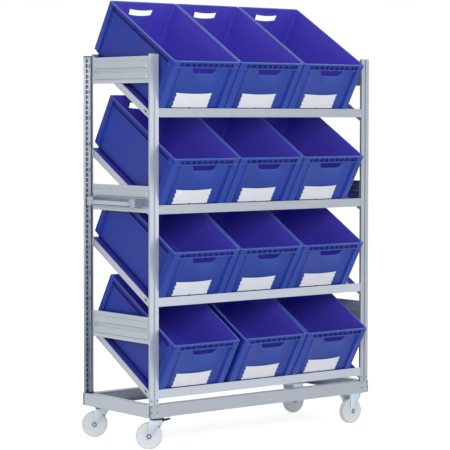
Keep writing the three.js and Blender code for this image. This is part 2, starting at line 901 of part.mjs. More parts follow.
// The cart, its origin on the floor under the middle of its box
function buildCart() {
  const rack = new THREE.Group();
  addFrame(rack);
  addRows(rack);
  addPiece(rack, "push_handle", handleGeometry(), galvanised);
  addCasters(rack);
  rack.updateMatrixWorld(true);
  const box = new THREE.Box3().setFromObject(rack, true);
  const centre = box.getCenter(new THREE.Vector3());
  rack.position.set(-centre.x, -centre.y, -box.min.z);
  const cart = new THREE.Group();
  cart.add(rack);
  return cart;
}

export default buildCart();
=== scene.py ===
# Looks of the mobile bin cart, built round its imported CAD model. Metres, +Z up.
import json
import math

import bmesh
import bpy
from mathutils import Matrix, Vector

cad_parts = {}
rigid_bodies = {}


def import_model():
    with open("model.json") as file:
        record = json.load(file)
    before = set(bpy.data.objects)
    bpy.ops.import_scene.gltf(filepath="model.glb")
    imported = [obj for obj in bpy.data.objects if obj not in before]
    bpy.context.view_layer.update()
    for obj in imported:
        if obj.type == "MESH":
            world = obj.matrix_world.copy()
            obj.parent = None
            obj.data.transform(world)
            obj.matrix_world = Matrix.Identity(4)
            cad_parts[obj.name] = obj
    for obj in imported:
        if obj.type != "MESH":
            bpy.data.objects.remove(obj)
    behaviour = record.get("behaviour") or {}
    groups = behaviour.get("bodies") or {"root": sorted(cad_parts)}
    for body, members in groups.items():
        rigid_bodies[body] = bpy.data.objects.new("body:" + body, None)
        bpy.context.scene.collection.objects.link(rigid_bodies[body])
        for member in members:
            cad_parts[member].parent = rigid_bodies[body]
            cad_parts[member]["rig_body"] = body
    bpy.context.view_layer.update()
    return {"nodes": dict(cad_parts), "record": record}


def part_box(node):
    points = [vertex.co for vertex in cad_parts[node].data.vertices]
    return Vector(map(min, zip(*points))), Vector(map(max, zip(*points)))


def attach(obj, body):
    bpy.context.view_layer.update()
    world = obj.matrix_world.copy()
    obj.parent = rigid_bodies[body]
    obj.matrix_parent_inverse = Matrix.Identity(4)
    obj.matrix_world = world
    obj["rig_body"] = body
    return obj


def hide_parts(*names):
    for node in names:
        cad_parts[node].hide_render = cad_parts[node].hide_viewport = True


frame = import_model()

MM = 0.001
scene = bpy.context.scene
nodes = frame["nodes"]
body_of = {name: node["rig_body"] for name, node in nodes.items()}
slot_of = {part["node"]: part["material_slot"] for part in frame["record"]["subparts"]}

# Places in the rack's own frame, in millimetres, and its shift to the model's origin
RAIL_Y = 272.0
RACK_X = 15.0
RACK_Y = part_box("base_rail_front")[0].y / MM + RAIL_Y
POST_X = 665.7
POST_Y = 269.7
POST_BOTTOM = 161.6
POST_HEIGHT = 1687.4
PANEL_X = 672.2

# Slots of the uprights, in millimetres: pitch, middle of the first, half the height, plain stretch at the top
SLOT_PITCH = 25.0
SLOT_FIRST = 15.0
SLOT_HALF = 10.0
PLAIN_TOP = 12.0

# Sizes of a bin, across, along and square to its shelf, in millimetres, and its gap over the shelf
BIN_WIDTH = 396.0
BIN_LENGTH = 596.0
BIN_HEIGHT = 280.0
BIN_POST = 40.0
BIN_GAP = 0.3

# Shelves: their slope, and their front end and fold in millimetres
TILT = math.radians(30.5)
SHELF_FRONT = -5.0
SHELF_FOLD = 33.0

# Casters in millimetres: kingpins, axle height, trail and cheeks; and the angle the swivel ones are turned to
CASTER_X = 616.0
CASTER_Y = 222.0
AXLE_Z = 62.5
TRAIL = 36.0
CHEEK_IN = 19.5
CHEEK_OUT = 22.5
SWIVEL_TURN = math.radians(141)

# Ends of the cart with their side along Y and their turn, and its sides with theirs along X
ENDS = (("front", -1, 0.0), ("rear", 1, math.pi))
SIDES = (("left", -1), ("right", 1))

# Angle in degrees up to which the edges of finished pieces are shaded smooth
SMOOTH = 30.0


# Materials
def node_tree(name):
    """A new node material: its tree, its shader, and texture coordinates in object space."""
    material = bpy.data.materials.new(name)
    material.use_nodes = True
    tree = material.node_tree
    coords = tree.nodes.new("ShaderNodeTexCoord")
    return material, tree, tree.nodes["Principled BSDF"], coords.outputs["Object"]


def add_node(tree, kind, inputs=None, **settings):
    """A node with its settings, and with values or links put into its inputs."""
    node = tree.nodes.new(kind)
    for key, value in settings.items():
        setattr(node, key, value)
    for key, value in (inputs or {}).items():
        if isinstance(value, bpy.types.NodeSocket):
            tree.links.new(value, node.inputs[key])
        else:
            node.inputs[key].default_value = value
    return node


def ramp(tree, factor, stops):
    """A colour ramp through the given (place, colour) stops."""
    node = add_node(tree, "ShaderNodeValToRGB", {"Fac": factor})
    elements = node.color_ramp.elements
    while len(elements) < len(stops):
        elements.new(0.5)
    for element, (place, colour) in zip(elements, stops):
        element.position = place
        element.color = (*colour, 1.0)
    return node.outputs["Color"]


def mix(tree, factor, first, second):
    """Two colours, the first one a link, mixed by a factor."""
    if not isinstance(second, bpy.types.NodeSocket):
        second = (*second, 1.0)
    return add_node(tree, "ShaderNodeMix", {0: factor, 6: first, 7: second}, data_type="RGBA").outputs[2]


def maths(tree, operation, *values):
    """The result of a math node."""
    return add_node(tree, "ShaderNodeMath", dict(enumerate(values)), operation=operation).outputs[0]


def spread(tree, value, low, high):
    """A value from 0 to 1 spread from low to high."""
    inputs = {"Value": value, "To Min": low, "To Max": high}
    return add_node(tree, "ShaderNodeMapRange", inputs).outputs["Result"]


def share(tree, value, low, high):
    """How far a value has come from low to high, from 0 to 1."""
    inputs = {"Value": value, "From Min": low, "From Max": high}
    return add_node(tree, "ShaderNodeMapRange", inputs).outputs["Result"]


def scaled(tree, coords, scale):
    """Texture coordinates stretched along the three axes."""
    return add_node(tree, "ShaderNodeMapping", {"Vector": coords, "Scale": scale}).outputs["Vector"]


def noise(tree, coords, scale, detail=4.0, rough=0.55):
    """A noise value from 0 to 1."""
    inputs = {"Vector": coords, "Scale": scale, "Detail": detail, "Roughness": rough}
    return add_node(tree, "ShaderNodeTexNoise", inputs).outputs["Fac"]


def edge_wear_and_highlight(tree, base, bright, start):
    """A colour with its raised edges lightened, from a start on the surface's pointiness: partly wear, partly
    painted highlight.
    """
    geometry = add_node(tree, "ShaderNodeNewGeometry")
    return mix(tree, share(tree, geometry.outputs["Pointiness"], start, 0.62), base, bright)


def lighter(colour):
    """A slightly lighter tone."""
    return tuple(min(1.0, c * 1.15) for c in colour)


def finish_shader(tree, shader, colour, roughness, height, strength, distance):
    """Links a colour, a roughness, and a bump from a height value, into the shader."""
    tree.links.new(colour, shader.inputs["Base Color"])
    tree.links.new(roughness, shader.inputs["Roughness"])
    inputs = {"Height": height, "Strength": strength, "Distance": distance}
    tree.links.new(add_node(tree, "ShaderNodeBump", inputs).outputs["Normal"], shader.inputs["Normal"])


def galvanised_material(name, pale=(0.50, 0.545, 0.605), dark=(0.42, 0.46, 0.52), inner=None, rise=None):
    """Zinc coated sheet: crystal spangle, rolling streaks, faint stains and edges lightened partly by wear
    and partly by painted highlight.

    inner is a direction, and a tone of painted shade for the sides that face it.
    rise holds a dark and a pale tone for the upper part of an upright: painted light that brightens it
    towards the top."""
    material, tree, shader, coords = node_tree(name)
    wavy = noise(tree, coords, 34.0, 3.0)
    pushed = add_node(tree, "ShaderNodeVectorMath", {0: wavy, 1: (0.012, 0.012, 0.012), 2: coords},
                      operation="MULTIPLY_ADD")
    cells = add_node(tree, "ShaderNodeTexVoronoi", {"Vector": pushed.outputs[0], "Scale": 90.0})
    flake = add_node(tree, "ShaderNodeSeparateColor", {"Color": cells.outputs["Color"]}).outputs["Red"]
    fine = noise(tree, scaled(tree, coords, (1.0, 1.0, 0.25)), 420.0, 2.0)
    stain = noise(tree, coords, 5.5, 6.0, 0.6)
    cloud = maths(tree, "MULTIPLY_ADD", flake, 0.35, stain)

    def spangle(low, high):
        return ramp(tree, cloud, [(0.35, low), (0.95, high)])

    base = spangle(dark, pale)
    # Painted light: the sheet turns lighter towards the top of the object
    if rise:
        height = add_node(tree, "ShaderNodeSeparateXYZ", {"Vector": coords}).outputs["Z"]
        base = mix(tree, share(tree, height, 0.3, 1.5), base, spangle(*rise))
    # Painted shade: sides facing the given direction take a darker tone
    if inner:
        direction, tone = inner
        normal = add_node(tree, "ShaderNodeNewGeometry").outputs["Normal"]
        facing = add_node(tree, "ShaderNodeVectorMath", {0: normal, 1: direction}, operation="DOT_PRODUCT")
        painted_shade = spangle(tuple(c * 0.72 for c in tone), tone)
        base = mix(tree, share(tree, facing.outputs["Value"], 0.6, 0.9), base, painted_shade)
    base = edge_wear_and_highlight(tree, base, lighter(pale), 0.52)
    shader.inputs["Metallic"].default_value = 0.35
    relief = maths(tree, "MULTIPLY_ADD", fine, 0.4, flake)
    finish_shader(tree, shader, base, spread(tree, flake, 0.37, 0.49), relief, 0.08, 0.0003)
    return material


def plated_material(name, pale, dark, rough):
    """Bright zinc plate: cloudy tone, fine drawing lines and edges lightened partly by wear and partly by
    painted highlight.
    """
    material, tree, shader, coords = node_tree(name)
    cloud = noise(tree, coords, 22.0, 4.0)
    lines = noise(tree, scaled(tree, coords, (1.0, 1.0, 0.15)), 500.0, 3.0)
    base = edge_wear_and_highlight(tree, ramp(tree, cloud, [(0.3, dark), (0.7, pale)]), lighter(pale), 0.52)
    shader.inputs["Metallic"].default_value = 0.5
    finish_shader(tree, shader, base, spread(tree, cloud, rough - 0.05, rough + 0.06), lines, 0.05, 0.0002)
    return material


def plastic_material(name, colour, deep, edge, rough):
    """Moulded plastic: fine grain, flow marks, scuffs, edges lightened partly by wear and partly by painted
    highlight, and a satin sheen.
    """
    material, tree, shader, coords = node_tree(name)
    flow = noise(tree, scaled(tree, coords, (1.0, 0.35, 1.0)), 7.0, 5.0)
    grain = noise(tree, coords, 900.0, 2.0)
    scuff = noise(tree, scaled(tree, coords, (1.0, 1.0, 4.0)), 60.0, 8.0, 0.7)
    base = edge_wear_and_highlight(tree, ramp(tree, flow, [(0.3, deep), (0.7, colour)]), edge, 0.53)
    shader.inputs["Specular IOR Level"].default_value = 0.3
    relief = maths(tree, "MULTIPLY_ADD", flow, 0.6, grain)
    finish_shader(tree, shader, base, spread(tree, scuff, rough - 0.09, rough + 0.12), relief, 0.1, 0.0003)
    return material


def card_material():
    """White card: faint fibres, a cool tint that varies slightly and a matt face."""
    material, tree, shader, coords = node_tree("label_card")
    fibre = noise(tree, scaled(tree, coords, (1.0, 1.0, 3.0)), 700.0, 6.0, 0.7)
    tone = noise(tree, coords, 14.0, 3.0)
    base = ramp(tree, tone, [(0.3, (0.88, 0.91, 0.96)), (0.7, (0.93, 0.95, 0.98))])
    shader.inputs["Specular IOR Level"].default_value = 0.25
    finish_shader(tree, shader, base, spread(tree, fibre, 0.6, 0.8), fibre, 0.12, 0.0002)
    return material


GALVANISED = galvanised_material("galvanised_sheet")
# A darker copy of the sheet: painted shade on the front base rail, two front beams and the front right
# upright
SHEET_PAINTED_SHADE = galvanised_material("galvanised_painted_shade", (0.40, 0.437, 0.485), (0.335, 0.37, 0.415))
# The rear uprights: the sheet painted darker, painted shade below and painted light brightening it towards
# the top
REAR_POST = galvanised_material("galvanised_rear_post_painted_light", (0.30, 0.365, 0.45), (0.245, 0.305, 0.39),
                                rise=((0.78, 0.83, 0.90), (0.88, 0.92, 0.97)))
# Rails with painted shade on their sides that face into the cart
REAR_RAIL = galvanised_material("galvanised_rear_rail", inner=((0.0, -1.0, 0.0), (0.30, 0.345, 0.42)))
RIGHT_RAIL = galvanised_material("galvanised_right_rail", inner=((-1.0, 0.0, 0.0), (0.34, 0.39, 0.46)))
# The right middle panel: its inner side painted dark navy, a painted reflection of the blue bins and painted
# shade
RIGHT_PANEL = galvanised_material("galvanised_right_panel_painted_reflection", inner=((-1.0, 0.0, 0.0), (0.12, 0.12, 0.23)))
ZINC = plated_material("zinc_plate", (0.56, 0.63, 0.72), (0.48, 0.55, 0.64), 0.34)
# Zinc darkened with painted shade, for the handle's legs and plate and for the bolts
SHADED = plated_material("zinc_painted_shade", (0.27, 0.33, 0.41), (0.20, 0.25, 0.32), 0.5)
GRIP = plated_material("grip_zinc", (0.41, 0.46, 0.53), (0.35, 0.40, 0.46), 0.42)
BLUE = plastic_material("blue_polypropylene", (0.020, 0.060, 0.38), (0.016, 0.050, 0.34),
                        (0.05, 0.11, 0.48), 0.42)
# Painted light: the inside of a bin lighter and more violet than its body
INSIDE_PAINTED_LIGHT = plastic_material("blue_inside_painted_light", (0.096, 0.076, 0.62), (0.080, 0.063, 0.56),
                         (0.10, 0.11, 0.60), 0.42)
# Painted shade: a darker blue for the pocket band and the recess round the foot
RECESS_PAINTED_SHADE = plastic_material("blue_recess_painted_shade", (0.015, 0.018, 0.25), (0.011, 0.014, 0.21), (0.02, 0.04, 0.30), 0.45)
# Painted shade: a dark blue for the shelf guides and plate edges
GUIDE_PAINTED_SHADE = plastic_material("guide_painted_shade", (0.046, 0.036, 0.41), (0.038, 0.029, 0.36),
                         (0.06, 0.07, 0.45), 0.45)
# Painted shade: a darker blue for the long sides, and a painted shadow beside the posts
SIDE_PAINTED_SHADE = plastic_material("blue_side_painted_shade", (0.011, 0.038, 0.36), (0.009, 0.032, 0.32), (0.04, 0.09, 0.46), 0.45)
# Painted highlight: a lighter blue for the rim's top and the ledges
RIM_PAINTED_HIGHLIGHT = plastic_material("blue_rim_painted_highlight", (0.085, 0.155, 0.54), (0.075, 0.14, 0.50), (0.12, 0.20, 0.60), 0.38)
NYLON = plastic_material("white_nylon", (0.80, 0.83, 0.86), (0.74, 0.77, 0.80), (0.86, 0.88, 0.90), 0.38)
# Black: the coating of the brake pedals and washers, and painted shade in the strips, rings and blocks set in
# slots and gaps
BLACK = plastic_material("black_coating_and_painted_shade", (0.022, 0.022, 0.024), (0.012, 0.012, 0.014),
                         (0.06, 0.06, 0.06), 0.42)
CARD = card_material()

# The material of each slot, and the nodes that have one of their own: copies of the sheet with painted light
# and shade
MATERIALS = {
    "galvanised": GALVANISED,
    "zinc": ZINC,
    "nylon": NYLON,
    "black_steel": BLACK,
    "blue_plastic": BLUE,
}
OWN = {
    "base_rail_front": SHEET_PAINTED_SHADE,
    "base_rail_rear": REAR_RAIL,
    "base_rail_right": RIGHT_RAIL,
    "front_beam_3": SHEET_PAINTED_SHADE,
    "front_beam_4": SHEET_PAINTED_SHADE,
    "side_panel_right_middle": RIGHT_PANEL,
    "upright_front_right": SHEET_PAINTED_SHADE,
    "upright_rear_left": REAR_POST,
    "upright_rear_right": REAR_POST,
}


# Mesh helpers
def rack(x, y, z):
    """A point of the rack's frame in millimetres as a point of the model in metres."""
    return Vector(((x + RACK_X) * MM, (y + RACK_Y) * MM, z * MM))


def span(side, first, second):
    """Two distances from the middle on one side, 1 or -1, in rising order."""
    return sorted((side * first, side * second))


def new_object(name, mesh, material, angle=32.0):
    """An object from a mesh, shaded smooth except over edges sharper than an angle in degrees."""
    mesh.materials.clear()
    mesh.materials.append(material)
    mesh.shade_smooth()
    mesh.set_sharp_from_angle(angle=math.radians(angle))
    thing = bpy.data.objects.new(name, mesh)
    scene.collection.objects.link(thing)
    return thing


def open_mesh(name, verts, faces):
    """A mesh of thin faces from points and faces."""
    mesh = bpy.data.meshes.new(name)
    mesh.from_pydata(verts, [], faces)
    return mesh


def solid_mesh(name, verts, faces):
    """A mesh from points and faces, with its faces turned outward."""
    mesh = open_mesh(name, verts, faces)
    work = bmesh.new()
    work.from_mesh(mesh)
    bmesh.ops.recalc_face_normals(work, faces=work.faces)
    work.to_mesh(mesh)
    work.free()
    return mesh


def loft(name, rings, closed=True):
    """A mesh through rings of points, all of the same number, with its ends closed or not."""
    count = len(rings[0])
    verts = [point for ring in rings for point in ring]
    faces = []
    for i in range(len(rings) - 1):
        for j in range(count):
            k = (j + 1) % count
            faces.append((i * count + j, i * count + k, (i + 1) * count + k, (i + 1) * count + j))
    if closed:
        faces.append(tuple(range(count)))
        faces.append(tuple(range((len(rings) - 1) * count, len(rings) * count)))
    return solid_mesh(name, verts, faces)


def turned(name, profile, steps, axis="Y", closed=True):
    """A solid turned about Y or Z from pairs in millimetres, each a radius and a place on the axis.

    The profile starts and ends on the axis; if it's not closed, it comes round to its start."""
    rings = []
    for radius, place in profile:
        radius = max(radius, 0.01)
        ring = []
        for i in range(steps):
            turn = 2 * math.pi * i / steps
            u, v, w = radius * math.cos(turn) * MM, radius * math.sin(turn) * MM, place * MM
            ring.append((u, w, v) if axis == "Y" else (u, v, w))
        rings.append(ring)
    return loft(name, rings, closed)


def prism(name, outline, start, end, axis):
    """A solid from an outline in millimetres, run along Y (outline in X, Z) or X (outline in Y, Z)."""
    def place(u, v, w):
        return (u * MM, w * MM, v * MM) if axis == "Y" else (w * MM, u * MM, v * MM)
    return loft(name, [[place(u, v, w) for u, v in outline] for w in (start, end)])


def arc(cx, cz, radius, start, end, steps):
    """Points of an arc from a start to an end angle in degrees."""
    angles = [math.radians(start + (end - start) * i / steps) for i in range(steps + 1)]
    return [(cx + radius * math.cos(a), cz + radius * math.sin(a)) for a in angles]


def rib(low, high):
    """A block between two corners in millimetres, its edges softened."""
    work = bmesh.new()
    bmesh.ops.create_cube(work, size=1.0)
    size = [b - a for a, b in zip(low, high)]
    centre = [(a + b) / 2 for a, b in zip(low, high)]
    for vert in work.verts:
        vert.co = Vector(((vert.co[i] * size[i] + centre[i]) * MM for i in range(3)))
    bmesh.ops.bevel(work, geom=work.edges, offset=0.5 * MM, segments=2, affect="EDGES", profile=0.5)
    mesh = bpy.data.meshes.new("rib")
    work.to_mesh(mesh)
    work.free()
    return mesh


def apply_modifiers(thing):
    """Fixes a piece's modifiers into its mesh."""
    graph = bpy.context.evaluated_depsgraph_get()
    mesh = bpy.data.meshes.new_from_object(thing.evaluated_get(graph))
    old = thing.data
    thing.modifiers.clear()
    thing.data = mesh
    bpy.data.meshes.remove(old)
    return mesh


def finished(thing):
    """The mesh of a working object with its modifiers fixed; the object goes."""
    mesh = apply_modifiers(thing)
    bpy.data.objects.remove(thing)
    return mesh


def cut(mesh, cutter):
    """A mesh less another one."""
    thing = new_object("cut", mesh, BLUE)
    tool = new_object("cutter", cutter, BLUE)
    opening = thing.modifiers.new("openings", "BOOLEAN")
    opening.operation = "DIFFERENCE"
    opening.solver = "EXACT"
    opening.object = tool
    result = finished(thing)
    bpy.data.objects.remove(tool)
    return result


def soften(thing, width, segments):
    """Rounds the sharp edges of a piece."""
    bevel = thing.modifiers.new("edges", "BEVEL")
    bevel.width = width * MM
    bevel.segments = segments
    bevel.limit_method = "ANGLE"
    bevel.angle_limit = math.radians(32)
    bevel.harden_normals = True
    bevel.use_clamp_overlap = True


def plate(outline, start, end, width=0.5):
    """A plate from an outline in millimetres in Y, Z, between two places on X, its edges rounded."""
    thing = new_object("plate", prism("plate", outline, start, end, "X"), GALVANISED)
    soften(thing, width, 2)
    return finished(thing)


def cheek(outline, start, end):
    """A thick plate from an outline in millimetres in X, Z, between two places on Y, its edges rounded."""
    thing = new_object("cheek", prism("cheek", outline, start, end, "Y"), ZINC)
    soften(thing, 0.8, 3)
    return finished(thing)


def sheet_metal(name, mesh, thickness):
    """A mesh of thin faces given the thickness of its sheet, as a finished mesh."""
    thing = new_object(name, mesh, GALVANISED)
    wall = thing.modifiers.new("sheet", "SOLIDIFY")
    wall.thickness = thickness * MM
    wall.offset = 0.0
    wall.use_even_offset = True
    return finished(thing)


def joined_mesh(name, meshes):
    """One mesh from several, each given alone or with its matrix."""
    work = bmesh.new()
    for item in meshes:
        mesh, matrix = item if isinstance(item, tuple) else (item, Matrix())
        part = bmesh.new()
        part.from_mesh(mesh)
        bmesh.ops.transform(part, matrix=matrix, verts=part.verts)
        temporary = bpy.data.meshes.new("part")
        part.to_mesh(temporary)
        part.free()
        work.from_mesh(temporary)
        bpy.data.meshes.remove(temporary)
    result = bpy.data.meshes.new(name)
    work.to_mesh(result)
    work.free()
    return result


def settle(thing, body, slot, *replaced):
    """Hangs a finished piece on its body and hides the nodes it stands for."""
    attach(thing, body)
    if replaced:
        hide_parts(*replaced)


# Bins
def bin_ring(height, inset, radius, dent):
    """One closed outline of a bin at a height: corner arcs, posts, and walls sunk between them."""
    half, low, high = BIN_WIDTH / 2 - inset, inset, BIN_LENGTH - inset
    points = []
    # each side: the centre and first angle of the corner before it, its direction, the way in, its length
    corners = [
        ((half - radius, low + radius), -90, (0, 1), (-1, 0), high - low),
        ((half - radius, high - radius), 0, (-1, 0), (0, -1), 2 * half),
        ((-half + radius, high - radius), 90, (0, -1), (1, 0), high - low),
        ((-half + radius, low + radius), 180, (1, 0), (0, 1), 2 * half),
    ]
    for centre, start, along, inward, length in corners:
        points += arc(*centre, radius, start, start + 90, 6)
        # the side after this corner starts a radius before its straight part
        sx, sy = points[-1][0] - along[0] * radius, points[-1][1] - along[1] * radius
        post = BIN_POST - inset
        marks = [(0, 0), (2.5, 0.9), (5, 1), (14, 1), (18, 0.80), (22, 0.80), (25, 0.92)]
        row = [(post + mark, dent * sunk) for mark, sunk in marks]
        row += [(length - place, sink) for place, sink in reversed(row)]
        for place, sink in row:
            x = sx + along[0] * place + inward[0] * sink
            y = sy + along[1] * place + inward[1] * sink
            points.append((x, y))
    return [(x * MM, y * MM, height * MM) for x, y in points]


def bin_shell():
    """The open box of a bin, from its foot up the outside, over the rim and down to its floor."""
    r = 12.0
    # height, inset, corner radius and depth of the sunk walls
    steps = [
        (0.0, 21.0, 9.0, 0.0), (1.0, 18.8, 10.0, 0.0), (3.0, 18.0, 10.0, 0.0), (11.0, 18.0, 10.0, 0.0),
        (12.0, 16.5, 10.0, 0.0), (12.0, 11.0, 11.0, 0.0), (12.8, 8.8, 11.0, 0.0), (15.0, 8.0, r, 0.0),
        (19.6, 8.0, r, 0.0), (20.4, 1.2, r, 6.8), (22.5, 0.0, r, 8.0),
        (245.2, 0.0, r, 8.0), (246.0, 0.0, r, 7.2), (246.4, 0.0, r, 0.9), (247.2, 0.0, r, 0.0),
        (249.2, 0.0, r, 0.0), (250.0, 0.0, r, 0.8), (250.4, 0.0, r, 9.3), (271.4, 0.0, r, 9.6),
        (271.8, 0.0, r, 1.0), (272.6, 0.0, r, 0.0), (277.8, 0.0, r, 0.0), (279.2, 0.5, r, 0.0),
        (280.0, 2.0, r, 0.0), (280.0, 9.2, 10.0, 0.0), (279.3, 10.6, 9.4, 0.0), (277.8, 11.0, 9.0, 0.0),
        (26.0, 11.0, 9.0, 0.0), (20.0, 12.4, 9.0, 0.0), (17.0, 15.4, 9.0, 0.0), (16.0, 20.0, 9.0, 0.0),
    ]
    return loft("bin_shell", [bin_ring(*step) for step in steps])


def bin_cutters():
    """What is cut out of a bin: both grips, the holes in its posts and one over the rear grip."""
    top, half = 244.0, 73.0
    front = [(-half, top)] + arc(-half + 29, top - 7, 24, 195, 270, 8)
    front += arc(half - 29, top - 7, 24, -90, -15, 8) + [(half, top)]
    bend = [6 * (1 - (2 * i / 12 - 1) ** 2) for i in range(13)]
    rear = [(69 - 138 * i / 12, top - bend[i]) for i in range(13)]
    rear += [(-66 + 132 * i / 12, top - 30 - bend[i]) for i in range(13)]
    meshes = [prism("grip", front, -6, 17, "Y"), prism("grip", rear, 578, 602, "Y")]
    meshes.append(prism("hole", arc(0, 264, 3.4, 0, 330, 11), 578, 602, "Y"))
    for places, axis, walls in (((-164, 164), "Y", ((-4, 6), (590, 600))),
                                ((34, 562), "X", ((-202, -192), (192, 202)))):
        for place in places:
            meshes += [prism("hole", arc(place, 236, 2.8, 0, 330, 11), *wall, axis) for wall in walls]
    return joined_mesh("bin_cutters", meshes)


def bin_mesh():
    """A whole bin: shell less its openings, with the ribs of its pocket band."""
    low, high, skin, wall = 248.0, 274.0, 0.7, 10.5
    parts = [cut(bin_shell(), bin_cutters())]
    for x in (-158, -135, -100, -65, -33, 0, 33, 65, 100, 135, 158):
        for near, far in ((skin, wall), (BIN_LENGTH - wall, BIN_LENGTH - skin)):
            parts.append(rib((x - 1.4, near, low), (x + 1.4, far, high)))
    return joined_mesh("bin", parts)


def mark_faces(mesh):
    """Gives a bin's faces their materials, by the heights of bin_shell: painted light inside, painted
    highlight on the rim and ledges, painted shade on the sides, beside the posts and in the recesses.
    """
    for material in (INSIDE_PAINTED_LIGHT, RIM_PAINTED_HIGHLIGHT, RECESS_PAINTED_SHADE, SIDE_PAINTED_SHADE):
        mesh.materials.append(material)
    body, inside, rim, recess, flank = range(5)
    for face in mesh.polygons:
        x, y, z = (value / MM for value in face.center)
        across, along = BIN_WIDTH / 2 - abs(x), min(y, BIN_LENGTH - y)
        depth = min(across, along)
        on_side = across < along
        near_post = BIN_POST < (along if on_side else across) < BIN_POST + 18.0
        # Painted highlight on the rim's top
        if z > 279.0:
            face.material_index = rim
        # Painted light on the inside
        elif depth > 10.9 and z > 15.5:
            face.material_index = inside
        # Painted highlight along the ledges
        elif (245.0 < z < 246.2 and on_side) or (249.4 < z < 250.3 and not on_side):
            face.material_index = rim
        # Painted shade in the pocket band
        elif (246.2 if on_side else 250.6) < z < 271.6 and depth > (0.3 if on_side else 4.0):
            face.material_index = recess
        # Painted shadow of the posts on the walls beside them
        elif 22.0 < z < 246.0 and depth > 6.0 and near_post:
            face.material_index = flank
        # Painted shade in the recess round the foot
        elif z < 22.5 and depth > 4.0:
            face.material_index = recess
        # Painted shade on the long sides
        else:
            face.material_index = flank if on_side else body


def card_mesh():
    """A label card in a bin's frame: 210 mm wide, bowed forward, with scalloped ends and a thumb notch."""
    columns, rows = 28, 30
    wide, low, high, thick = 105.0, 33.0, 111.0, 0.7
    verts, faces = [], []
    for layer in (0, 1):
        for j in range(rows + 1):
            n = low + (high - low) * j / rows
            wave = sum(math.exp(-((n - at) / 5.5) ** 2) for at in (50.0, 73.0, 96.0))
            for i in range(columns + 1):
                u = 2 * i / columns - 1
                edge = wide - wave * (5.5 if u < 0 else 3.0)
                bow = 4.2 * (1 - u * u) * (0.35 + 0.65 * (n - low) / (high - low))
                dip = 2.2 * (1 - u * u) * (j / rows) ** 6
                notch = 6.0 if j == 0 and i == columns // 2 else 0.0
                y = 7.4 - bow - (thick if layer else 0.0)
                verts.append((u * edge * MM, y * MM, (n - dip + notch) * MM))
    stride = columns + 1
    size = stride * (rows + 1)
    for layer in (0, 1):
        for j in range(rows):
            for i in range(columns):
                a = layer * size + j * stride + i
                faces.append((a, a + 1, a + stride + 1, a + stride))
    rim = [i for i in range(columns)] + [j * stride + columns for j in range(rows)]
    rim += [rows * stride + i for i in range(columns, 0, -1)] + [j * stride for j in range(rows, 0, -1)]
    for a, b in zip(rim, rim[1:] + rim[:1]):
        faces.append((a, b, b + size, a + size))
    return solid_mesh("card", verts, faces)


def shelf_matrix(row):
    """The sloping frame of a shelf: its origin where the bins' front feet stand, X at the rack's middle."""
    low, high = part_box(f"bin_{row}_1")
    rise = (BIN_HEIGHT + BIN_GAP) * MM
    y = low.y + rise * math.sin(TILT)
    z = high.z - BIN_LENGTH * MM * math.sin(TILT) - rise * math.cos(TILT)
    return Matrix.Translation((RACK_X * MM, y, z)) @ Matrix.Rotation(TILT, 4, "X")


def bin_matrix(row, edge):
    """Where a bin of a row stands, from the left edge of it, on its sloping shelf."""
    aside = (edge + BIN_WIDTH / 2 - RACK_X) * MM
    return Matrix.Translation((aside, 0, 0)) @ shelf_matrix(row) @ Matrix.Translation((0, 0, BIN_GAP * MM))


def make_bins():
    """Twelve bins and their cards, each on its own body."""
    mesh, card = bin_mesh(), card_mesh()
    aside = Matrix.Translation((-11.5 * MM, 0, 0))
    for row in range(1, 5):
        for k in range(1, 4):
            name = f"bin_{row}_{k}"
            matrix = bin_matrix(row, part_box(name)[0].x / MM)
            thing = new_object(f"moulded_{name}", mesh, BLUE, 28.0)
            thing.matrix_world = matrix
            settle(thing, body_of[name], "blue_plastic", name)
            label = new_object(f"card_{name}", card, CARD, 60.0)
            label.matrix_world = matrix @ aside
            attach(label, body_of[name])
    mark_faces(mesh)


# Uprights
def upright_mesh(hooked):
    """A front upright about its centre: grooved face, hollow flange with slotted shoulders, slotted web.

    hooked is the side, 1 or -1 along X, whose flange has the slots for the beams."""
    # half the sheet and the face, the shoulders' depth, half the web's width and the web's depth
    sheet, face, flange, web, back = 0.7, 24.3, 10.5, 5.8, 31.3
    hook = -1
    # left half of the section: points, each with the pitches from slot to slot on the way to it
    half = [
        (-2.6, back, 0), (-web, back, 0), (-web, 28.6, 0), (-web, 22.6, 5), (-web, flange, 0),
        (-6.8, flange, 0), (-17.0, flange, 1), (-face, flange, 0), (-face, 9.0, 0), (-face, 2.6, hook),
        (-face, sheet, 0), (-4.2, sheet, 0), (-3.2, 4.8, 0),
    ]
    points = [(x, y) for x, y, _ in half] + [(-x, y) for x, y, _ in reversed(half)]
    left = [int(hooked < 0) if pitch == hook else pitch for _, _, pitch in half[1:]]
    right = [int(hooked > 0) if pitch == hook else pitch for _, _, pitch in half[:0:-1]]
    pitches = [*left, 0, *right]
    slots = int((POST_HEIGHT - PLAIN_TOP) // SLOT_PITCH)
    middles = [SLOT_FIRST + SLOT_PITCH * k for k in range(slots)]
    ends = [middle + way * SLOT_HALF for middle in middles for way in (-1, 1)]
    heights = [0.0, *ends, POST_HEIGHT]
    verts = [(x * MM, y * MM, z * MM) for z in heights for x, y in points]
    faces = []
    count = len(points)
    for i in range(len(heights) - 1):
        slot = i // 2 if i % 2 == 1 else None
        for j, pitch in enumerate(pitches):
            a = i * count + j
            if slot is None or not pitch or slot % pitch:
                faces.append((a, a + 1, a + count + 1, a + count))
    return open_mesh("upright", verts, faces)


